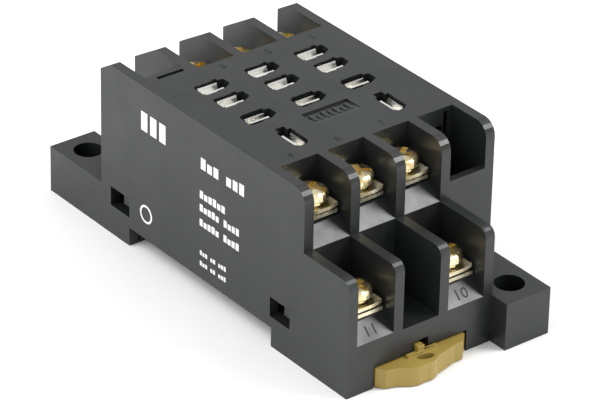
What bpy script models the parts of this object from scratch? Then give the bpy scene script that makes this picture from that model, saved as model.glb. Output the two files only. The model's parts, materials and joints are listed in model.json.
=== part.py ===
"""Eleven-contact relay socket for a 35 mm rail.

The long side is X, with the sliding rail clip at +X. The relay plugs in from +Z. The origin is the
centre of the footprint, on the plane that the socket stands on. Named sizes are in millimetres.
"""
import math

import bmesh
import bpy
from mathutils import Matrix, Vector

MM = 0.001
GAP = 0.3

# Overall block
WALL = 1.7
PITCH = 8.4
COLUMNS = 4
WIDTH = COLUMNS * PITCH + WALL
HALF_WIDTH = WIDTH / 2
HEIGHT = 29.3
UPPER_END = 25.1
LOWER_END = 35.6
LOWER_WALL_TOP = 19.3
LEDGE_TOP = 8.1
UPPER_ROUNDING = 2.3
LOWER_ROUNDING = 1.5
REAR_BEVEL_START = -22.4
REAR_BEVEL_SLOPE = 0.62
REAR_BARRIER_END = -28.0
PLATEAU_FRONT = 17.2
PLATEAU_REAR = -14.0
OPEN_TOP = HEIGHT + 1.7

# 35 mm rail
RAIL_NOTCH = 17.8
RAIL_SEAT = 3.2
RAIL_HOOK = 1.8
RAIL_HOOK_HALF_WIDTH = 10.0
RAIL_RELIEF = 0.2

# Screw ears
EAR_END = 39.0
EAR_HEIGHT = 7.9
EAR_HOLE_X = 34.5
EAR_HOLE_Y = 13.5
EAR_HOLE_RADIUS = 2.35

# Terminals: the lower tier repeats the upper one, LEVEL_DROP lower
LEVEL_DROP = 11.1
PAD_BOTTOM = 22.2
PAD_THICKNESS = 0.6
PAD_HALF_WIDTH = 3.05
NECK_HALF_WIDTH = 1.2
PAD_FRONT = {"upper": 22.5, "lower": 33.3}
SCREW_U = {("front", "upper"): 20.0, ("front", "lower"): 30.6,
           ("rear", "upper"): 19.0, ("rear", "lower"): 30.6}
SLOPE_LENGTH = 2.5
SLOPE_HEIGHT = 2.3
SLOPE_DROP = 0.25
WASHER_HALF_LENGTH = 2.65
WASHER_HALF_WIDTH = 2.9
WASHER_FLAT = 1.5
WASHER_THICKNESS = 0.6
WASHER_LIFT = 0.3
HEAD_RADIUS = 2.6
HEAD_HEIGHT = 1.7
HEAD_EDGE = 0.7
COLLAR_RADIUS = 2.0
COLLAR_HEIGHT = 0.6
SHANK_RADIUS = 1.55
SHANK_LENGTH = 6.4
SCREW_BORE_RADIUS = 2.1

# Contacts: row position along X, and the three poles and the coil pair across Y
ROWS = {"nc": -8.1, "no": -3.25, "com": 3.25}
POLES = (9.35, 0.0, -9.35)
COIL_START = 7.9
COIL_END = 13.9
COIL_X = 11.45
COIL_Y = 9.15
CONTACT_TOP = 29.0
CONTACT_NECK = 27.1
CONTACT_THICKNESS = 0.35
CONTACT_LENGTH = 3.5
CONTACT_SHIFT = -0.3
LIPS = {"nc": 1.05, "no": 1.05, "com": 0.65, "coil": 0.8}

# number: end, tier, column, contact row, contact Y
TERMINALS = {
    1: ("rear", "upper", 3, "nc", POLES[0]),
    2: ("rear", "upper", 2, "nc", POLES[1]),
    3: ("rear", "upper", 1, "nc", POLES[2]),
    4: ("rear", "lower", 3, "no", POLES[0]),
    5: ("rear", "lower", 2, "no", POLES[1]),
    6: ("rear", "lower", 1, "no", POLES[2]),
    7: ("front", "upper", 2, "com", POLES[0]),
    8: ("front", "upper", 1, "com", POLES[1]),
    9: ("front", "upper", 0, "com", POLES[2]),
    10: ("front", "lower", 2, "coil", COIL_Y),
    11: ("front", "lower", 0, "coil", -COIL_Y),
}

# How far each screw happens to be turned, in degrees
HEAD_TURNS = {1: 20, 2: 65, 3: 110, 4: 40, 5: 150, 6: 75, 7: 125, 8: 60, 9: 35, 10: 100, 11: 15}

SIDE = {"front": 1, "rear": -1}
BACK_WALL = {("front", "upper"): PLATEAU_FRONT, ("rear", "upper"): -PLATEAU_REAR,
             ("front", "lower"): UPPER_END, ("rear", "lower"): UPPER_END}

# Rail clip
CLIP_Y = -4.15
CLIP_TOP = 3.3
CLIP_BOTTOM = 0.2
TONGUE_START = 28.6
TONGUE_END = 34.4
TONGUE_TOP = 2.9
TONGUE_BOTTOM = 0.4
JAW_TOP = 1.9
DRIVER_HOLE = (37.2, -4.4)
DRIVER_HOLE_RADIUS = 1.45
DRIVER_HOLE_STRETCH = 0.48
DRIVER_HOLE_TURN = -14

# Side windows: low and high X on the -Y side; the +Y side is the same turned half round
WINDOWS = ((-22.65, -17.75), (17.4, 22.15))
WINDOW_BOTTOM = 5.0
WINDOW_TOP = 8.3


def clear_scene():
    for item in list(bpy.data.objects):
        bpy.data.objects.remove(item, do_unlink=True)


def new_collection(name):
    collection = bpy.data.collections.new(name)
    bpy.context.scene.collection.children.link(collection)
    return collection


def add_object(name, mesh, collection):
    item = bpy.data.objects.new(name, mesh)
    collection.objects.link(item)
    return item


def hide_tool(item):
    item.hide_render = True
    item.display_type = "WIRE"
    return item


def box(name, low, high, collection):
    """A box between two corners, in millimetres."""
    mesh = bpy.data.meshes.new(name)
    shape = bmesh.new()
    bmesh.ops.create_cube(shape, size=1.0)
    low, high = Vector(low) * MM, Vector(high) * MM
    size = high - low
    bmesh.ops.scale(shape, vec=size, verts=shape.verts)
    bmesh.ops.translate(shape, vec=(low + high) / 2, verts=shape.verts)
    shape.to_mesh(mesh)
    shape.free()
    return add_object(name, mesh, collection)


def cylinder(name, radius, low, high, centre, collection, segments=32, stretch=1.0):
    """An upright cylinder from z low to z high; stretch widens it along X."""
    mesh = bpy.data.meshes.new(name)
    shape = bmesh.new()
    bmesh.ops.create_cone(shape, cap_ends=True, segments=segments, radius1=radius * MM,
                          radius2=radius * MM, depth=(high - low) * MM)
    bmesh.ops.scale(shape, vec=(stretch, 1, 1), verts=shape.verts)
    place = Vector((centre[0], centre[1], (low + high) / 2)) * MM
    bmesh.ops.translate(shape, vec=place, verts=shape.verts)
    shape.to_mesh(mesh)
    shape.free()
    return add_object(name, mesh, collection)


def plate(name, outline, low, high, plane, collection):
    """A flat outline extruded from low to high: plane XY along Z, plane XZ along Y."""
    curve = bpy.data.curves.new(name, "CURVE")
    curve.dimensions = "2D"
    curve.fill_mode = "BOTH"
    curve.extrude = (high - low) / 2 * MM
    spline = curve.splines.new("POLY")
    spline.points.add(len(outline) - 1)
    for point, (across, up) in zip(spline.points, outline):
        point.co = (across * MM, up * MM, 0, 1)
    spline.use_cyclic_u = True
    drawn = add_object(name, curve, collection)
    middle = (low + high) / 2 * MM
    if plane == "XZ":
        drawn.matrix_world = Matrix.Translation((0, middle, 0)) @ Matrix.Rotation(math.pi / 2, 4, "X")
    else:
        drawn.matrix_world = Matrix.Translation((0, 0, middle))
    solid = bake(drawn)
    solid.name = name
    return solid


def bake(item):
    """Replaces an object by the mesh that it evaluates to, in world coordinates."""
    bpy.context.view_layer.update()
    collection = item.users_collection[0]
    evaluated = item.evaluated_get(bpy.context.evaluated_depsgraph_get())
    mesh = bpy.data.meshes.new_from_object(evaluated)
    mesh.transform(item.matrix_world)
    welded = bmesh.new()
    welded.from_mesh(mesh)
    bmesh.ops.remove_doubles(welded, verts=welded.verts, dist=0.000001)
    bmesh.ops.recalc_face_normals(welded, faces=welded.faces)
    welded.to_mesh(mesh)
    welded.free()
    bpy.data.objects.remove(item, do_unlink=True)
    return add_object(mesh.name, mesh, collection)


def combine(target, operation, tools):
    """A Boolean with every object of a collection, which then only guides."""
    for tool in tools.objects:
        hide_tool(tool)
    modifier = target.modifiers.new(operation.lower(), "BOOLEAN")
    modifier.operation = operation
    modifier.operand_type = "COLLECTION"
    modifier.collection = tools


def arc(centre, radius, start, end, steps):
    """Points on an arc between two angles in degrees."""
    points = []
    for step in range(steps + 1):
        angle = math.radians(start + (end - start) * step / steps)
        points.append((centre[0] + radius * math.cos(angle), centre[1] + radius * math.sin(angle)))
    return points


def material(name, colour, roughness, metallic):
    made = bpy.data.materials.new(name)
    made.use_nodes = True
    shader = made.node_tree.nodes["Principled BSDF"]
    shader.inputs["Base Color"].default_value = (*colour, 1)
    shader.inputs["Roughness"].default_value = roughness
    shader.inputs["Metallic"].default_value = metallic
    made.diffuse_color = (*colour, 1)
    return made


def finish(item, look, smooth=True):
    item.data.materials.clear()
    item.data.materials.append(look)
    if smooth:
        item.data.shade_smooth()
        item.data.set_sharp_from_angle(angle=math.radians(35))


def column_clear(column):
    """The clear space between the two walls of a column."""
    low = -HALF_WIDTH + WALL + column * PITCH
    return low, low + PITCH - WALL


def column_centre(column):
    low, high = column_clear(column)
    return (low + high) / 2


def pad_bottom(tier):
    return PAD_BOTTOM if tier == "upper" else PAD_BOTTOM - LEVEL_DROP


# ---------------------------------------------------------------- housing

def block_outline():
    """Side view of the block: the rail notch below, two tiers at each end."""
    bevel_drop = (REAR_BEVEL_START + UPPER_END) * REAR_BEVEL_SLOPE
    front = [(RAIL_NOTCH, RAIL_SEAT), (RAIL_NOTCH, 0), (LOWER_END, 0)]
    front += arc((LOWER_END - LOWER_ROUNDING, LOWER_WALL_TOP - LOWER_ROUNDING), LOWER_ROUNDING, 0, 90, 4)
    front += [(UPPER_END, LOWER_WALL_TOP)]
    front += arc((UPPER_END - UPPER_ROUNDING, HEIGHT - UPPER_ROUNDING), UPPER_ROUNDING, 0, 90, 5)
    rear = [(REAR_BEVEL_START, HEIGHT), (-UPPER_END, HEIGHT - bevel_drop), (-UPPER_END, LOWER_WALL_TOP)]
    rear += arc((LOWER_ROUNDING - LOWER_END, LOWER_WALL_TOP - LOWER_ROUNDING), LOWER_ROUNDING, 90, 180, 4)
    rear += [(-LOWER_END, 0), (-RAIL_NOTCH, 0), (-RAIL_NOTCH, RAIL_SEAT)]
    return front + rear


def add_ears(tools):
    inner = HALF_WIDTH - PITCH
    box("ear_front", (20, inner, 0), (EAR_END, HALF_WIDTH, EAR_HEIGHT), tools)
    box("ear_rear", (-EAR_END, -HALF_WIDTH, 0), (-20, -inner, EAR_HEIGHT), tools)


def add_rear_barriers(tools):
    """The three inner barriers of the rear upper tier reach past the outer walls."""
    for wall in range(1, COLUMNS):
        low = -HALF_WIDTH + wall * PITCH
        end_top = HEIGHT - (REAR_BEVEL_START - REAR_BARRIER_END) * REAR_BEVEL_SLOPE
        outline = [(REAR_BEVEL_START, HEIGHT), (REAR_BARRIER_END, end_top),
                   (REAR_BARRIER_END, LOWER_WALL_TOP - 2), (REAR_BEVEL_START, LOWER_WALL_TOP - 2)]
        plate("rear_barrier", outline, low, low + WALL, "XZ", tools)


def terminal_bay(end, tier, column, tools):
    """The space over one terminal, with the marked slope in front of its pad."""
    side = SIDE[end]
    floor = pad_bottom(tier) - GAP
    outer = UPPER_END if tier == "upper" else LOWER_END
    back = BACK_WALL[end, tier]
    slope_top = outer - SLOPE_LENGTH
    over = 0.4
    foot = floor - SLOPE_DROP - SLOPE_HEIGHT
    roof = HEIGHT + 2 if tier == "upper" else LOWER_WALL_TOP + 1
    outline = [(back, floor), (slope_top, floor), (slope_top, floor - SLOPE_DROP), (outer, foot),
               (outer + over, foot - over * SLOPE_HEIGHT / SLOPE_LENGTH), (outer + over, roof),
               (back, roof)]
    if tier == "upper" and end == "rear":
        outline[-2:-1] = [(outer + 4, LOWER_WALL_TOP - 1), (outer + 4, roof)]
    low, high = column_clear(column)
    plate("bay", [(side * u, z) for u, z in outline], low, high, "XZ", tools)


def conductor_gate(end, tier, column, tools):
    """The slot in a bay's back wall that the terminal plate goes through."""
    side = SIDE[end]
    back = BACK_WALL[end, tier]
    centre = column_centre(column)
    floor = pad_bottom(tier) - GAP
    ends = sorted((side * (back - WALL - 0.5), side * (back + 0.5)))
    reach = NECK_HALF_WIDTH + GAP
    box("gate", (ends[0], centre - reach, floor),
        (ends[1], centre + reach, floor + PAD_THICKNESS + 2 * GAP), tools)


def screw_well(end, tier, column, tools):
    side = SIDE[end]
    centre = (side * SCREW_U[end, tier], column_centre(column))
    top = pad_bottom(tier)
    depth = 3.5 if tier == "upper" else 6.5
    cylinder("screw_well", SCREW_BORE_RADIUS, top - depth, top, centre, tools, segments=24)


def ear_column(end, tools):
    """The empty pocket above an ear: no terminal, a plain outer wall, and nothing over the ear."""
    side = SIDE[end]
    low, high = column_clear(COLUMNS - 1)
    pocket_back = PLATEAU_FRONT if end == "front" else 15.9
    pocket_front = UPPER_END - 1.2
    wall_top = 22.1
    pocket_floor = 13.0

    def span(u_low, u_high, v_low, v_high, z_low, z_high, name):
        xs = sorted((side * u_low, side * u_high))
        ys = sorted((side * v_low, side * v_high))
        box(name, (xs[0], ys[0], z_low), (xs[1], ys[1], z_high), tools)

    span(pocket_back, pocket_front, low, high, pocket_floor, OPEN_TOP, "ear_pocket")
    span(pocket_front - 1, UPPER_END + 1, low, high, wall_top, OPEN_TOP, "ear_pocket_mouth")
    span(UPPER_END, LOWER_END + 5, low, HALF_WIDTH + 2, EAR_HEIGHT, LOWER_WALL_TOP + 2, "over_ear")
    hole = (side * EAR_HOLE_X, side * EAR_HOLE_Y)
    cylinder("ear_hole", EAR_HOLE_RADIUS, -1, EAR_HEIGHT + 1, hole, tools, segments=40)


def latch_slots(tools):
    """Slots for the bail that holds a relay down: one at each end."""
    box("latch_slot_rear", (-15.2, -14.5, 23), (-14.5, -9.7, OPEN_TOP), tools)
    box("latch_slot_front", (14, 14.35, 24.3), (18, 15.05, 28.6), tools)
    box("latch_hole_front", (14, 12.9, 25.4), (18, 14.0, 26.4), tools)


def inner_space(tools):
    """Everything open from below: the base's pocket and the contact chambers."""
    half = HALF_WIDTH - WALL
    step = half - PITCH
    chamber_end = UPPER_END - WALL
    base_end = LOWER_END - WALL
    base_top = 5.3
    bay_floor = PAD_BOTTOM - GAP - WALL
    ceiling = HEIGHT - WALL
    front_wall = PLATEAU_FRONT - WALL
    rear_wall = PLATEAU_REAR + WALL
    box("pocket", (-chamber_end, -half, -1), (chamber_end, half, base_top), tools)
    box("pocket_front", (20, -half, -1), (base_end, step, base_top), tools)
    box("pocket_rear", (-base_end, -step, -1), (-20, half, base_top), tools)
    box("chamber", (rear_wall, -half, 4), (front_wall, half, ceiling), tools)
    box("chamber_front", (front_wall - 2, -half, 4), (chamber_end, step, bay_floor), tools)
    box("chamber_rear", (-chamber_end, -step, 4), (rear_wall + 2, half, bay_floor), tools)
    box("under_ear_pocket_front", (front_wall - 2, step - 1, 4), (chamber_end, half, 11.3), tools)
    box("under_ear_pocket_rear", (-chamber_end, -half, 4), (rear_wall + 2, 1 - step, 11.3), tools)


def under_lower_bay(end, column, tools):
    """Hollow below a lower terminal, so that the walls stay even."""
    side = SIDE[end]
    low, high = column_clear(column)
    xs = sorted((side * (UPPER_END + WALL), side * (LOWER_END - 3)))
    top = pad_bottom("lower") - GAP - WALL
    box("under_bay", (xs[0], low, 4.5), (xs[1], high, top), tools)


def blade_slots(tools):
    """A slot for each flat contact blade, its outer end cut back to a point, and two coil slots."""
    blade = [(-1.6, -1.9), (-1.1, -2.6), (1.4, -2.6), (1.75, -2.2), (1.75, -0.5), (1.55, -0.1),
             (1.55, 1.3), (0.8, 2.75), (-0.9, 2.75), (-1.1, 2.2), (-1.0, 1.85), (-1.6, 1.75)]
    coil = [(COIL_START, -0.8), (COIL_START + 1.0, -0.8), (COIL_START + 1.25, -1.3), (COIL_END - 0.6, -1.3),
            (COIL_END, -0.8), (COIL_END, 0.6), (COIL_END - 0.8, 1.35), (COIL_START + 0.9, 1.35),
            (COIL_START + 1.1, 0.8), (COIL_START, 0.8)]
    for row in ROWS.values():
        for pole in POLES:
            outline = [(row + x, pole + y) for x, y in blade]
            plate("blade_slot", outline, HEIGHT - WALL - 1, HEIGHT + 1, "XY", tools)
    for pole in (COIL_Y, -COIL_Y):
        outline = [(x, pole + y) for x, y in coil]
        plate("coil_slot", outline, HEIGHT - WALL - 1, HEIGHT + 1, "XY", tools)


def label_recess(tools):
    deep, start, end = 0.35, 6.6, 10.2
    outline = [(start, HEIGHT - deep), (end, HEIGHT), (end, HEIGHT + 1), (start, HEIGHT + 1)]
    plate("label_recess", outline, -4.05, 4.45, "XZ", tools)


def clip_opening(tools):
    ends = (LOWER_END - WALL - 1, LOWER_END + 1)
    box("clip_opening", (ends[0], -12.75, -1), (ends[1], 4.65, 3.6), tools)
    box("clip_key_opening", (ends[0], -5.4, 2), (ends[1], -2.65, 5.2), tools)


def side_windows(tools):
    depth = (HALF_WIDTH - WALL - 0.5, HALF_WIDTH + 1)
    for low, high in WINDOWS:
        box("window", (low, -depth[1], WINDOW_BOTTOM), (high, -depth[0], WINDOW_TOP), tools)
        box("window", (-high, depth[0], WINDOW_BOTTOM), (-low, depth[1], WINDOW_TOP), tools)


def make_housing(parts, look):
    housing = plate("housing", block_outline(), -HALF_WIDTH, HALF_WIDTH, "XZ", parts)
    added = new_collection("housing_additions")
    add_ears(added)
    add_rear_barriers(added)
    combine(housing, "UNION", added)

    cuts = new_collection("housing_cutters")
    for end, tier, column, _, _ in TERMINALS.values():
        terminal_bay(end, tier, column, cuts)
        conductor_gate(end, tier, column, cuts)
        screw_well(end, tier, column, cuts)
        if tier == "lower":
            under_lower_bay(end, column, cuts)
    gap_low, gap_high = column_clear(1)
    box("open_gap", (UPPER_END, gap_low, LEDGE_TOP), (LOWER_END + 1, gap_high, LOWER_WALL_TOP + 1), cuts)
    for end in SIDE:
        ear_column(end, cuts)
    latch_slots(cuts)
    inner_space(cuts)
    blade_slots(cuts)
    label_recess(cuts)
    clip_opening(cuts)
    side_windows(cuts)
    combine(housing, "DIFFERENCE", cuts)

    ribs = new_collection("housing_ribs")
    for rib in (-4.7, 4.7):
        box("pole_rib", (-6.0, rib - 0.6, 12.5), (1.2, rib + 0.6, HEIGHT - WALL + 0.4), ribs)
    combine(housing, "UNION", ribs)
    finish(housing, look, smooth=False)
    return housing


# ---------------------------------------------------------------- base

def make_base(parts, look):
    """Channel-shaped insert: plate over the rail, feet beside it, hooks in the side windows."""
    half = HALF_WIDTH - WALL - GAP
    step = half - PITCH
    end = LOWER_END - WALL - GAP
    middle = UPPER_END - WALL - GAP
    plate_top = 5.0
    rail_left, rail_right = CLIP_Y - 8.55, CLIP_Y + 8.55
    lip = (28.6, 1.3)
    base = box("base", (-middle, -half, RAIL_SEAT), (middle, half, plate_top), parts)

    added = new_collection("base_additions")
    box("front_plate", (middle - 2, -half, RAIL_SEAT), (end, step, plate_top), added)
    box("rear_plate", (-end, -step, RAIL_SEAT), (2 - middle, half, plate_top), added)
    box("rear_foot", (-end, -step, 0), (-RAIL_NOTCH, half, RAIL_SEAT + 1), added)
    box("rear_foot_side", (-middle, -half, 0), (-RAIL_NOTCH, 1 - step, RAIL_SEAT + 1), added)
    hook_half = RAIL_HOOK_HALF_WIDTH
    box("rail_hook", (-RAIL_NOTCH - 1, -hook_half, 0), (-RAIL_NOTCH + RAIL_HOOK, hook_half, JAW_TOP), added)
    box("guide_left", (RAIL_NOTCH, -half, 0), (end, rail_left, RAIL_SEAT + 1), added)
    box("guide_right", (RAIL_NOTCH, rail_right, 0), (end, step, RAIL_SEAT + 1), added)
    box("front_foot_side", (RAIL_NOTCH, rail_right, 0), (middle, half, RAIL_SEAT + 1), added)
    box("lip_left", (lip[0], rail_left - 1, 0), (end, rail_left + 1, lip[1]), added)
    box("lip_right", (lip[0], rail_right - 1, 0), (end, rail_right + 1, lip[1]), added)
    box("stop_left", (27.0, rail_left - 1, 0.4), (28.2, rail_left + 2.5, RAIL_SEAT + 1), added)
    box("stop_right", (27.0, rail_right - 2.5, 0.4), (28.2, rail_right + 1, RAIL_SEAT + 1), added)
    hook_spans = [(low + 2.9, high - 0.25) for low, high in WINDOWS]
    for low, high in hook_spans:
        for turn in (-1, 1):
            xs = sorted((-turn * low, -turn * high))
            arm = sorted((turn * half, turn * (half - 1.15)))
            barb = sorted((turn * (HALF_WIDTH - 0.4), turn * (half - 0.5)))
            box("hook_arm", (xs[0], arm[0], plate_top - 1), (xs[1], arm[1], 8.0), added)
            box("hook_barb", (xs[0], barb[0], 6.4), (xs[1], barb[1], 8.0), added)
    combine(base, "UNION", added)

    cuts = new_collection("base_cutters")
    box("key_slot", (29.4, -5.4, RAIL_SEAT - 1), (end + 1, -3.6, plate_top + 1), cuts)
    for low, high in ((1.4 - step, -0.8), (0.8, 13.8)):
        box("foot_pocket", (-32, low, -1), (-20, high, RAIL_SEAT), cuts)
    relief = (RAIL_NOTCH - RAIL_HOOK - GAP, RAIL_SEAT + RAIL_RELIEF)
    box("hook_relief", (-RAIL_NOTCH, -hook_half - GAP, 2.5), (-relief[0], hook_half + GAP, relief[1]), cuts)
    box("jaw_relief", (relief[0], rail_left, 2.5), (RAIL_NOTCH, rail_right, relief[1]), cuts)
    combine(base, "DIFFERENCE", cuts)
    finish(base, look, smooth=False)
    return base


# ---------------------------------------------------------------- rail clip

def clip_head_outline():
    """Plan of the finger tab: flat-fronted, with a shallow waist near each end."""
    left = [(33.9, -12.4), (35.6, -12.4), (36.9, -11.5), (37.4, -9.8), (38.6, -8.1)]
    nose = arc((36.7, -4.6), 2.3, -50, 45, 6)
    right = [(37.6, 0.0), (37.3, 1.0), (37.3, 2.6), (35.8, 4.1), (33.9, 4.1)]
    return left + [(39.0, -7.0)] + nose[2:] + right


def make_rail_clip(parts, look):
    clip = plate("rail_clip", clip_head_outline(), CLIP_BOTTOM, CLIP_TOP, "XY", parts)

    added = new_collection("clip_additions")
    low, high = TONGUE_BOTTOM, TONGUE_TOP
    box("tongue", (TONGUE_START, CLIP_Y - 7.25, low), (TONGUE_END, CLIP_Y + 7.25, high), added)
    box("flange", (TONGUE_START, CLIP_Y - 8.25, 1.6), (TONGUE_END, CLIP_Y + 8.25, high), added)
    box("neck", (17.0, CLIP_Y - 4, low), (TONGUE_START + 0.4, CLIP_Y + 4, high), added)
    box("jaw", (15.9, CLIP_Y - 6.2, low), (18.6, CLIP_Y + 6.2, JAW_TOP), added)
    box("key", (30.0, -5.1, high - 0.5), (36.3, -3.9, 4.6), added)
    box("thumb_ridge", (35.75, -7.0, CLIP_TOP - 0.5), (36.4, -1.4, CLIP_TOP + 0.45), added)
    for turn in (-1, 1):
        root, tip = 3.6, 7.6
        outline = [(17.9, root), (18.8, root), (23.6, tip), (22.9, tip + 0.5)]
        points = [(x, CLIP_Y + turn * v) for x, v in outline]
        plate("spring_arm", points, low, JAW_TOP, "XY", added)
    combine(clip, "UNION", added)

    cuts = new_collection("clip_cutters")
    hole = cylinder("driver_hole", DRIVER_HOLE_RADIUS, -1, CLIP_TOP + 1, (0, 0), cuts, segments=28,
                    stretch=DRIVER_HOLE_STRETCH)
    hole.location = (DRIVER_HOLE[0] * MM, DRIVER_HOLE[1] * MM, 0)
    hole.rotation_euler.z = math.radians(DRIVER_HOLE_TURN)
    combine(clip, "DIFFERENCE", cuts)
    finish(clip, look, smooth=False)
    return clip


# ---------------------------------------------------------------- terminals and contacts

def plate_outline(end, tier, column, bar_low, bar_high, contact_y):
    """Plan of a terminal plate: pad, neck and a bar across to its contact."""
    side = SIDE[end]
    centre = column_centre(column)
    turn = 1 if contact_y > centre else -1
    across = abs(contact_y - centre)
    pad_start = BACK_WALL[end, tier] + GAP
    pad_end = PAD_FRONT[tier]
    if tier == "lower":
        pad_start = SCREW_U[end, tier] - 3.4
    pad, neck = PAD_HALF_WIDTH, NECK_HALF_WIDTH
    points = [(pad_end, -pad), (pad_end, pad), (pad_start, pad), (pad_start, neck), (bar_high, neck),
              (bar_high, across + neck), (bar_low, across + neck), (bar_low, -neck),
              (pad_start, -neck), (pad_start, -pad)]
    return [(side * u, centre + turn * v) for u, v in points]


def make_terminal_plate(number, parts, look):
    end, tier, column, row, contact_y = TERMINALS[number]
    bars = {"nc": (6.5, 10.1), "no": (2.6, 6.1), "com": (1.6, 5.0), "coil": (9.4, 12.9)}
    bottom = pad_bottom(tier)
    contact_centre = contact_y if row == "coil" else contact_y + CONTACT_SHIFT
    outline = plate_outline(end, tier, column, *bars[row], contact_centre)
    item = plate(f"terminal_plate_{number:02d}", outline, bottom, bottom + PAD_THICKNESS, "XY", parts)

    if tier == "lower":
        risers = new_collection(f"riser_{number:02d}")
        top = PAD_BOTTOM + PAD_THICKNESS
        half = PAD_THICKNESS / 2
        if row == "no":
            low = (ROWS["no"] - half, contact_centre - NECK_HALF_WIDTH, bottom)
            high = (ROWS["no"] + half, contact_centre + NECK_HALF_WIDTH, top)
        else:
            low = (9.4, contact_centre - half, bottom)
            high = (12.9, contact_centre + half, top)
        box("riser", low, high, risers)
        combine(item, "UNION", risers)

    cuts = new_collection(f"plate_cutters_{number:02d}")
    centre = (SIDE[end] * SCREW_U[end, tier], column_centre(column))
    cylinder("tapped_hole", SHANK_RADIUS + GAP, bottom - 1, bottom + 2, centre, cuts, segments=24)
    combine(item, "DIFFERENCE", cuts)
    finish(item, look, smooth=False)
    return item


def contact_mesh(parts, lips):
    """A strip bent to a tulip, end on: a round foot, two leaves that meet, two lips spread above."""
    bottom = PAD_BOTTOM + PAD_THICKNESS + GAP + CONTACT_THICKNESS / 2
    leaf = [(0.2, bottom), (0.55, bottom + 0.35), (0.7, bottom + 1.3), (0.32, CONTACT_NECK),
            (0.45, CONTACT_NECK + 0.5), (lips, CONTACT_TOP)]
    line = [(-x, z) for x, z in reversed(leaf)] + leaf
    shape = bmesh.new()
    near = [shape.verts.new((x * MM, -CONTACT_LENGTH / 2 * MM, z * MM)) for x, z in line]
    edges = [shape.edges.new(pair) for pair in zip(near, near[1:])]
    swept = bmesh.ops.extrude_edge_only(shape, edges=edges)["geom"]
    far = [part for part in swept if isinstance(part, bmesh.types.BMVert)]
    bmesh.ops.translate(shape, vec=(0, CONTACT_LENGTH * MM, 0), verts=far)
    bmesh.ops.recalc_face_normals(shape, faces=shape.faces)
    mesh = bpy.data.meshes.new("contact_clip")
    shape.to_mesh(mesh)
    shape.free()
    strip = add_object("contact_strip", mesh, parts)
    thick = strip.modifiers.new("thickness", "SOLIDIFY")
    thick.thickness = CONTACT_THICKNESS * MM
    thick.offset = 0
    thick.use_even_offset = True
    return bake(strip)


def make_contacts(parts, look):
    sources = {row: contact_mesh(parts, lips) for row, lips in LIPS.items()}
    for number, (_, _, _, row, contact_y) in TERMINALS.items():
        item = add_object(f"contact_clip_{number:02d}", sources[row].data, parts)
        if row == "coil":
            item.location = (COIL_X * MM, contact_y * MM, 0)
            item.rotation_euler.z = math.radians(90)
        else:
            item.location = (ROWS[row] * MM, (contact_y + CONTACT_SHIFT) * MM, 0)
    for source in sources.values():
        finish(source, look)
        bpy.data.objects.remove(source, do_unlink=True)


def washer_mesh(parts):
    """A square saddle washer: flat in the middle, its two wings lifted."""
    profile = [(-WASHER_HALF_WIDTH, WASHER_LIFT), (-WASHER_FLAT, 0), (WASHER_FLAT, 0),
               (WASHER_HALF_WIDTH, WASHER_LIFT)]
    top = [(y, z + WASHER_THICKNESS) for y, z in reversed(profile)]
    strip = plate("saddle", profile + top, -WASHER_HALF_LENGTH, WASHER_HALF_LENGTH, "XZ", parts)
    strip.rotation_euler.z = math.radians(90)
    strip = bake(strip)
    cuts = new_collection("washer_cutters")
    cylinder("washer_hole", SHANK_RADIUS + GAP, -1, 3, (0, 0), cuts, segments=24)
    combine(strip, "DIFFERENCE", cuts)
    return bake(strip)


def screw_mesh(parts):
    """A turned pan head and shank, with a slot and a cross in the head."""
    crown, under = 0.15, 0.2
    profile = [(0, HEAD_HEIGHT)]
    profile += arc((HEAD_RADIUS - HEAD_EDGE, HEAD_HEIGHT - HEAD_EDGE - crown), HEAD_EDGE, 90, 0, 3)
    profile += [(HEAD_RADIUS, under), (HEAD_RADIUS - under, 0), (COLLAR_RADIUS, 0),
                (COLLAR_RADIUS, -COLLAR_HEIGHT), (SHANK_RADIUS, -COLLAR_HEIGHT),
                (SHANK_RADIUS, 0.5 - SHANK_LENGTH), (SHANK_RADIUS - 0.5, -SHANK_LENGTH),
                (0, -SHANK_LENGTH)]
    shape = bmesh.new()
    verts = [shape.verts.new((x * MM, 0, z * MM)) for x, z in profile]
    for pair in zip(verts, verts[1:]):
        shape.edges.new(pair)
    mesh = bpy.data.meshes.new("terminal_screw")
    shape.to_mesh(mesh)
    shape.free()
    turned = add_object("screw_profile", mesh, parts)
    spin = turned.modifiers.new("turn", "SCREW")
    spin.axis = "Z"
    spin.steps = 24
    spin.render_steps = 24
    spin.use_merge_vertices = True
    spin.merge_threshold = 0.00001
    cuts = new_collection("screw_cutters")
    box("driver_slot", (-2.3, -0.45, HEAD_HEIGHT - 0.9), (2.3, 0.45, HEAD_HEIGHT + 1), cuts)
    box("driver_cross", (-0.55, -1.6, HEAD_HEIGHT - 1.2), (0.55, 1.6, HEAD_HEIGHT + 1), cuts)
    combine(turned, "DIFFERENCE", cuts)
    return bake(turned)


def make_fasteners(parts, washer_look, screw_look):
    washer = washer_mesh(parts)
    screw = screw_mesh(parts)
    finish(washer, washer_look, smooth=False)
    finish(screw, screw_look)
    for number, (end, tier, column, _, _) in TERMINALS.items():
        x = SIDE[end] * SCREW_U[end, tier] * MM
        y = column_centre(column) * MM
        washer_bottom = pad_bottom(tier) + PAD_THICKNESS + GAP
        head_bottom = washer_bottom + WASHER_THICKNESS + GAP + COLLAR_HEIGHT
        clamp = add_object(f"clamp_washer_{number:02d}", washer.data, parts)
        clamp.location = (x, y, washer_bottom * MM)
        bolt = add_object(f"terminal_screw_{number:02d}", screw.data, parts)
        bolt.location = (x, y, head_bottom * MM)
        bolt.rotation_euler.z = math.radians(HEAD_TURNS[number])
    for source in (washer, screw):
        bpy.data.objects.remove(source, do_unlink=True)


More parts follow.
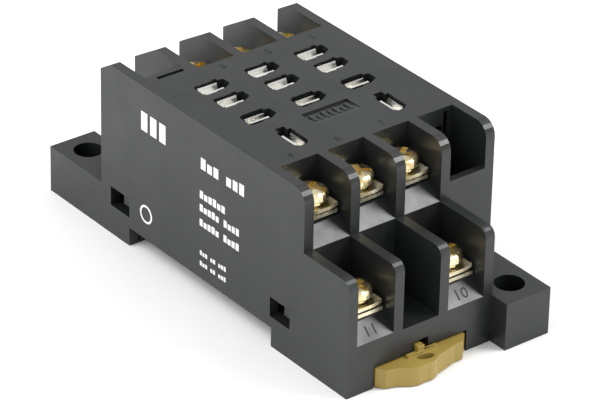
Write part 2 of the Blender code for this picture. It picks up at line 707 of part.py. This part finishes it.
def main():
    clear_scene()
    parts = new_collection("relay_socket")
    black = material("black_housing", (0.045, 0.047, 0.05), 0.45, 0.0)
    dark = material("black_base", (0.03, 0.03, 0.032), 0.5, 0.0)
    yellow = material("yellow_clip", (0.55, 0.37, 0.08), 0.45, 0.0)
    brass = material("plated_terminal", (0.72, 0.6, 0.36), 0.3, 1.0)
    bronze = material("bright_contact", (0.8, 0.79, 0.76), 0.25, 1.0)
    zinc = material("yellow_zinc", (0.66, 0.5, 0.22), 0.28, 1.0)

    make_housing(parts, black)
    make_base(parts, dark)
    make_rail_clip(parts, yellow)
    for number in TERMINALS:
        make_terminal_plate(number, parts, brass)
    make_contacts(parts, bronze)
    make_fasteners(parts, zinc, zinc)


main()
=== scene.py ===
"""The looks of the relay socket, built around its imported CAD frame.

Lengths named *_MM, the tables of marks and what goes through mm() are millimetres in the frame's
axes: +X towards the rail clip, +Y towards the front screw ear, +Z out of the face that the relay
plugs into.
"""
import json
import math

import bmesh
import bpy
from mathutils import Matrix, Vector


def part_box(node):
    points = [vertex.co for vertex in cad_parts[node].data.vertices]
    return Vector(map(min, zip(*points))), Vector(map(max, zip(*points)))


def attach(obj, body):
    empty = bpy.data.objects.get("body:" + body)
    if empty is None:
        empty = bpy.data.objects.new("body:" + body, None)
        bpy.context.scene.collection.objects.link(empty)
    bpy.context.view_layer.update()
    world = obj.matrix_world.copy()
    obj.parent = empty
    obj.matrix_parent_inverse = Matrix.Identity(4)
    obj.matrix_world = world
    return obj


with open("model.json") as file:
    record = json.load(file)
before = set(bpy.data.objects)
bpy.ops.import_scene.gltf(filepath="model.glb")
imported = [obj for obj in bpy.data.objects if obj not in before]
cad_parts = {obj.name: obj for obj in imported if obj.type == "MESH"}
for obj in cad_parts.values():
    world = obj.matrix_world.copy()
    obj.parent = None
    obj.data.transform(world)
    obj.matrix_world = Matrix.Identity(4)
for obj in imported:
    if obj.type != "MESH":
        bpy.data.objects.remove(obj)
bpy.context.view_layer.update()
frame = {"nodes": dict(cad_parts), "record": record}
nodes = frame["nodes"]

MM = 0.001


def mm(*values):
    """Millimetres to metres, as a vector."""
    return Vector(values) * MM


# ---------------------------------------------------------------- camera, light, floor

CAMERA_TARGET = mm(0, 0, 13)
CAMERA_DISTANCE = 554.8 * MM
CAMERA_AZIMUTH = math.radians(51.73)
CAMERA_ELEVATION = math.radians(29.68)
CAMERA_ROLL = math.radians(1.17)
SENSOR_WIDTH = 36.0
FOCAL_LENGTH = 221.2
SHIFT = (0.0111, -0.0248)


def add_camera():
    """Looks down at the clip end from the printed side, from a good half metre away."""
    away = Vector((math.sin(CAMERA_AZIMUTH) * math.cos(CAMERA_ELEVATION),
                   -math.cos(CAMERA_AZIMUTH) * math.cos(CAMERA_ELEVATION),
                   math.sin(CAMERA_ELEVATION)))
    right = Vector((math.cos(CAMERA_AZIMUTH), math.sin(CAMERA_AZIMUTH), 0))
    up = away.cross(right)
    tilted_right = math.cos(CAMERA_ROLL) * right + math.sin(CAMERA_ROLL) * up
    tilted_up = -math.sin(CAMERA_ROLL) * right + math.cos(CAMERA_ROLL) * up
    data = bpy.data.cameras.new("camera")
    data.sensor_width = SENSOR_WIDTH
    data.lens = FOCAL_LENGTH
    data.shift_x, data.shift_y = SHIFT
    data.clip_start = 0.01
    data.clip_end = 20
    camera = bpy.data.objects.new("camera", data)
    bpy.context.scene.collection.objects.link(camera)
    turn = Matrix((tilted_right, tilted_up, away)).transposed().to_4x4()
    camera.matrix_world = Matrix.Translation(CAMERA_TARGET + away * CAMERA_DISTANCE) @ turn
    bpy.context.scene.camera = camera


def add_softbox(name, direction, distance, size, power):
    """A rectangular area light that faces the socket from the given direction."""
    data = bpy.data.lights.new(name, "AREA")
    data.shape = "RECTANGLE"
    data.size, data.size_y = size
    data.energy = power
    light = bpy.data.objects.new(name, data)
    bpy.context.scene.collection.objects.link(light)
    towards = Vector(direction).normalized()
    turn = towards.to_track_quat("Z", "Y").to_matrix().to_4x4()
    light.matrix_world = Matrix.Translation(CAMERA_TARGET + towards * distance) @ turn


def add_studio():
    """A white sweep with one soft key, a fill from the printed side, and a card over the clip end."""
    add_softbox("key_softbox", (-0.35, -0.75, 1.0), 1.2, (0.9, 0.7), 9)
    add_softbox("side_softbox", (0.1, -1.0, 0.25), 1.3, (0.9, 0.7), 3)
    add_softbox("clip_end_card", (0.45, 0.54, 0.73), 0.9, (0.34, 0.28), 5)
    world = bpy.data.worlds.new("studio")
    world.use_nodes = True
    background = world.node_tree.nodes["Background"]
    background.inputs["Color"].default_value = (1, 1, 1, 1)
    background.inputs["Strength"].default_value = 0.8
    bpy.context.scene.world = world
    bpy.context.scene.view_settings.view_transform = "Standard"


def add_floor():
    mesh = bpy.data.meshes.new("floor")
    shape = bmesh.new()
    bmesh.ops.create_grid(shape, x_segments=1, y_segments=1, size=3.0)
    shape.to_mesh(mesh)
    shape.free()
    floor = bpy.data.objects.new("floor", mesh)
    bpy.context.scene.collection.objects.link(floor)
    look = bpy.data.materials.new("floor_paper")
    look.use_nodes = True
    shader = look.node_tree.nodes["Principled BSDF"]
    shader.inputs["Base Color"].default_value = (0.92, 0.92, 0.92, 1)
    shader.inputs["Roughness"].default_value = 0.9
    floor.data.materials.append(look)


add_camera()
add_studio()
add_floor()


# ---------------------------------------------------------------- materials

class Surface:
    """A Principled material and short calls that add procedural nodes to it."""

    def __init__(self, name, roughness, metallic=0.0):
        self.material = bpy.data.materials.new(name)
        self.material.use_nodes = True
        self.tree = self.material.node_tree
        self.shader = self.tree.nodes["Principled BSDF"]
        self.shader.inputs["Roughness"].default_value = roughness
        self.shader.inputs["Metallic"].default_value = metallic
        self.place = self.tree.nodes.new("ShaderNodeTexCoord").outputs["Object"]

    def link(self, output, target):
        self.tree.links.new(output, target)

    def noise(self, per_metre, detail=3.0, stretch=(1, 1, 1)):
        """Noise with the given number of lumps to a metre."""
        mapping = self.tree.nodes.new("ShaderNodeMapping")
        mapping.inputs["Scale"].default_value = stretch
        node = self.tree.nodes.new("ShaderNodeTexNoise")
        node.inputs["Scale"].default_value = per_metre
        node.inputs["Detail"].default_value = detail
        self.link(self.place, mapping.inputs["Vector"])
        self.link(mapping.outputs["Vector"], node.inputs["Vector"])
        return node.outputs["Fac"]

    def ramp(self, value, stops):
        node = self.tree.nodes.new("ShaderNodeValToRGB")
        band = node.color_ramp
        while len(band.elements) < len(stops):
            band.elements.new(0.5)
        for element, (position, colour) in zip(band.elements, stops):
            element.position = position
            element.color = (*colour, 1)
        self.link(value, node.inputs["Fac"])
        return node.outputs["Color"]

    def range(self, value, low, high):
        node = self.tree.nodes.new("ShaderNodeMapRange")
        node.inputs["From Min"].default_value = 0.3
        node.inputs["From Max"].default_value = 0.7
        node.inputs["To Min"].default_value = low
        node.inputs["To Max"].default_value = high
        self.link(value, node.inputs["Value"])
        return node.outputs["Result"]

    def bump(self, height, depth_mm, strength=1.0, under=None):
        node = self.tree.nodes.new("ShaderNodeBump")
        node.inputs["Strength"].default_value = strength
        node.inputs["Distance"].default_value = depth_mm * MM
        self.link(height, node.inputs["Height"])
        if under is not None:
            self.link(under, node.inputs["Normal"])
        self.link(node.outputs["Normal"], self.shader.inputs["Normal"])
        return node.outputs["Normal"]


def moulded_plastic(name, dark, light, roughness, grain_mm=0.012):
    """Filled thermoplastic: slight clouding, a fine spark-eroded grain and faint flow lines."""
    surface = Surface(name, roughness)
    clouds = surface.noise(90, 4)
    surface.link(surface.ramp(clouds, [(0.3, dark), (0.7, light)]), surface.shader.inputs["Base Color"])
    surface.link(surface.range(surface.noise(260, 5), roughness - 0.05, roughness + 0.06),
                 surface.shader.inputs["Roughness"])
    flow = surface.bump(surface.noise(60, 2, (1, 3, 1)), 0.05, 0.25)
    surface.bump(surface.noise(3800, 2), grain_mm, 0.55, flow)
    return surface.material


def stamped_metal(name, dark, light, roughness, brushed=(1, 1, 1)):
    """Plated sheet: patchy passivation, fine rolling marks and soft dents."""
    surface = Surface(name, roughness, 1.0)
    patches = surface.noise(420, 4)
    surface.link(surface.ramp(patches, [(0.32, dark), (0.66, light)]), surface.shader.inputs["Base Color"])
    surface.link(surface.range(surface.noise(900, 3, brushed), roughness - 0.08, roughness + 0.12),
                 surface.shader.inputs["Roughness"])
    dents = surface.bump(surface.noise(700, 2), 0.03, 0.5)
    surface.bump(surface.noise(5200, 2, brushed), 0.006, 0.6, dents)
    return surface.material


LOOKS = {
    "housing_black": moulded_plastic("housing_plastic", (0.0095, 0.0105, 0.0105),
                                     (0.0135, 0.0145, 0.0145), 0.36),
    "base_black": moulded_plastic("base_plastic", (0.007, 0.0075, 0.0075), (0.011, 0.0115, 0.0115), 0.45),
    "clip_yellow": moulded_plastic("clip_plastic", (0.28, 0.195, 0.038), (0.34, 0.245, 0.056), 0.4, 0.008),
    "terminal_plated": stamped_metal("terminal_metal", (0.62, 0.56, 0.38), (0.86, 0.8, 0.6), 0.3, (1, 6, 1)),
    "contact_bright": stamped_metal("contact_metal", (0.78, 0.77, 0.72), (0.95, 0.94, 0.9), 0.25, (1, 1, 5)),
    "washer_zinc": stamped_metal("washer_metal", (0.70, 0.60, 0.34), (0.92, 0.86, 0.64), 0.28, (4, 1, 1)),
    "screw_zinc": stamped_metal("screw_metal", (0.68, 0.53, 0.24), (0.94, 0.85, 0.58), 0.24),
}


EDGE_ROUNDING_MM = 0.15
WELD_DISTANCE_MM = 0.002
FLAT_ANGLE = math.radians(0.5)
EDGE_ANGLE = math.radians(30)


def soften_edges(node):
    """Rounds the edges of a CAD node with modifiers; its own mesh stays as it is."""
    weld = node.modifiers.new("weld", "WELD")
    weld.merge_threshold = WELD_DISTANCE_MM * MM
    flat = node.modifiers.new("flat_faces", "DECIMATE")
    flat.decimate_type = "DISSOLVE"
    flat.angle_limit = FLAT_ANGLE
    round_off = node.modifiers.new("soft_edges", "BEVEL")
    round_off.width = EDGE_ROUNDING_MM * MM
    round_off.segments = 2
    round_off.limit_method = "ANGLE"
    round_off.angle_limit = EDGE_ANGLE


def dress_cad_nodes():
    for row in frame["record"]["subparts"]:
        node = nodes[row["node"]]
        node.data.materials.clear()
        node.data.materials.append(LOOKS[row["material_slot"]])


# ---------------------------------------------------------------- print and moulded marks

# Rows printed on the -Y side: low and high X, low and high Z, and how many words the row stands for
PRINTED_ROWS = (
    (0.4, 11.4, 21.9, 23.8, 2),
    (0.2, 6.6, 16.9, 18.2, 1),
    (0.2, 10.5, 14.7, 15.9, 2),
    (0.2, 10.1, 12.2, 13.4, 2),
    (0.3, 7.4, 7.2, 8.0, 3),
    (0.3, 7.2, 5.4, 6.2, 3),
)
DASH_PER_HEIGHT = 0.62
SPACE_PER_DASH = 0.32
DASH_DROPS = (0.0, 0.22, 0.1)
PRINT_PROUD_MM = 0.015

# Three upright bars high on the same side: their low and high X, and their low and high Z
SYMBOL_BARS = ((-14.6, -13.0), (-12.3, -10.7), (-10.0, -8.4))
SYMBOL_HEIGHTS = (21.8, 25.0)

RING_CENTRE_MM = (-13.4, 7.6)
RING_RADII_MM = (1.55, 1.2)
RING_STEPS = 40

# The marked slope below each lower front terminal falls by its drop over its run, along +X
SLOPE_RUN_MM = 2.5
SLOPE_DROP_MM = 2.3
SLOPE_NUMBERS = (11, 10)
SLOPE_NUMBER_PLACE_MM = (34.5, 9.27)
SLOPE_NUMBER_SIZE_MM = 2.4
SLOPE_NUMBER_PROUD_MM = 0.03

# Terminals numbered on the top, with the X of each number
TOP_NUMBERS = ((9, 15.4), (8, 15.4), (7, 15.4), (3, -12.2), (2, -12.2), (1, -12.2))
TOP_NUMBER_SIZE_MM = 1.7
TOP_NUMBER_PROUD_MM = 0.06

# Bars in the recess on the top: their lengths along X, and where they start, end and stand
TOP_BAR_LENGTHS_MM = (1.9, 1.4, 1.9, 1.6, 1.9, 1.4, 1.9)
TOP_BAR_FIRST_MM = -3.5
TOP_BAR_PITCH_MM = 1.1
TOP_BAR_WIDTH_MM = 0.55
TOP_BAR_END_MM = 9.4
TOP_BAR_HEIGHTS_MM = (28.9, 29.3)


def add_piece(name, mesh, look):
    piece = bpy.data.objects.new(name, mesh)
    bpy.context.scene.collection.objects.link(piece)
    mesh.materials.append(look)
    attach(piece, "socket")
    return piece


def add_bar(shape, low, high):
    """A bar between two corners, in millimetres."""
    low, high = Vector(low) * MM, Vector(high) * MM
    bar = bmesh.ops.create_cube(shape, size=1.0)["verts"]
    bmesh.ops.scale(shape, vec=high - low, verts=bar)
    bmesh.ops.translate(shape, vec=(low + high) / 2, verts=bar)


def mesh_of(name, shape):
    mesh = bpy.data.meshes.new(name)
    shape.to_mesh(mesh)
    shape.free()
    return mesh


def printed_face_mm():
    """The Y of the printed side, in millimetres."""
    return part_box("housing")[0][1] / MM


def add_dashes(shape, row, front, back):
    """One printed row, as dashes of uneven height with a gap after each word."""
    x_low, x_high, z_low, z_high, words = row
    height = z_high - z_low
    dash = height * DASH_PER_HEIGHT
    pitch = dash * (1 + SPACE_PER_DASH)
    count = int((x_high - x_low) / pitch)
    gaps = {count * word // words for word in range(1, words)}
    for index in range(count):
        if index not in gaps:
            start = x_low + index * pitch
            drop = height * DASH_DROPS[index % len(DASH_DROPS)]
            add_bar(shape, (start, front, z_low), (start + dash, back, z_high - drop))


def printed_side(look):
    """Stand-ins for the printed lines, and a plain symbol of three bars."""
    front = printed_face_mm() - PRINT_PROUD_MM
    back = printed_face_mm() + PRINT_PROUD_MM
    shape = bmesh.new()
    for row in PRINTED_ROWS:
        add_dashes(shape, row, front, back)
    for x_low, x_high in SYMBOL_BARS:
        add_bar(shape, (x_low, front, SYMBOL_HEIGHTS[0]), (x_high, back, SYMBOL_HEIGHTS[1]))
    add_piece("side_print", mesh_of("side_print", shape), look)


def circle(shape, radius, y):
    """Vertices round the ring's centre, at one radius, in millimetres."""
    points = []
    for step in range(RING_STEPS):
        angle = 2 * math.pi * step / RING_STEPS
        x = RING_CENTRE_MM[0] + radius * math.cos(angle)
        z = RING_CENTRE_MM[1] + radius * math.sin(angle)
        points.append(shape.verts.new(mm(x, y, z)))
    return points


def printed_ring(look):
    """A plain open ring low on the printed side."""
    shape = bmesh.new()
    outer, inner = (circle(shape, radius, printed_face_mm() - PRINT_PROUD_MM) for radius in RING_RADII_MM)
    for step in range(RING_STEPS):
        after = (step + 1) % RING_STEPS
        shape.faces.new((outer[step], outer[after], inner[after], inner[step]))
    ring = add_piece("side_ring", mesh_of("side_ring", shape), look)
    thick = ring.modifiers.new("ink", "SOLIDIFY")
    thick.thickness = PRINT_PROUD_MM * MM
    thick.offset = 0


def number_mark(number, size_mm, centre, up, normal, proud_mm, look):
    """A number whose line runs along +Y, standing a little proud of its face."""
    name = f"number_{number}"
    curve = bpy.data.curves.new(name, "FONT")
    curve.body = str(number)
    curve.size = size_mm * MM
    curve.align_x = "CENTER"
    curve.align_y = "CENTER"
    curve.extrude = proud_mm * MM
    curve.space_character = 1.1
    curve.materials.append(look)
    mark = bpy.data.objects.new(name, curve)
    bpy.context.scene.collection.objects.link(mark)
    turn = Matrix((Vector((0, 1, 0)), up.normalized(), normal.normalized())).transposed().to_4x4()
    mark.matrix_world = Matrix.Translation(mm(*centre)) @ turn
    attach(mark, "socket")


def terminal_y_mm(number):
    """The middle of a terminal's column, from its clamp washer."""
    low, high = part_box(f"clamp_washer_{number:02d}")
    return (low[1] + high[1]) / 2 / MM


def add_numbers(ink, plastic):
    """Terminal numbers: two large ones on the lower slopes, small moulded ones on the top."""
    slope_up = Vector((-SLOPE_RUN_MM, 0, SLOPE_DROP_MM))
    slope_normal = Vector((SLOPE_DROP_MM, 0, SLOPE_RUN_MM))
    for number in SLOPE_NUMBERS:
        x, z = SLOPE_NUMBER_PLACE_MM
        number_mark(number, SLOPE_NUMBER_SIZE_MM, (x, terminal_y_mm(number), z), slope_up, slope_normal,
                    SLOPE_NUMBER_PROUD_MM, ink)
    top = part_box("housing")[1][2] / MM
    for number, x in TOP_NUMBERS:
        number_mark(number, TOP_NUMBER_SIZE_MM, (x, terminal_y_mm(number), top), Vector((-1, 0, 0)),
                    Vector((0, 0, 1)), TOP_NUMBER_PROUD_MM, plastic)


def moulded_mark(look):
    """Raised bars in the sloping recess on the top, in place of a moulded type mark."""
    low, high = TOP_BAR_HEIGHTS_MM
    shape = bmesh.new()
    for index, length in enumerate(TOP_BAR_LENGTHS_MM):
        y = TOP_BAR_FIRST_MM + index * TOP_BAR_PITCH_MM
        add_bar(shape, (TOP_BAR_END_MM - length, y, low), (TOP_BAR_END_MM, y + TOP_BAR_WIDTH_MM, high))
    add_piece("top_mark", mesh_of("top_mark", shape), look)


# ---------------------------------------------------------------- putting it together

dress_cad_nodes()
for name in ("housing", "base", "rail_clip"):
    soften_edges(nodes[name])
white_ink = moulded_plastic("white_ink", (0.62, 0.62, 0.62), (0.78, 0.78, 0.78), 0.5, 0.003)
black_ink = moulded_plastic("black_ink", (0.006, 0.006, 0.006), (0.01, 0.01, 0.01), 0.6, 0.003)
printed_side(white_ink)
printed_ring(white_ink)
add_numbers(black_ink, LOOKS["housing_black"])
moulded_mark(LOOKS["housing_black"])
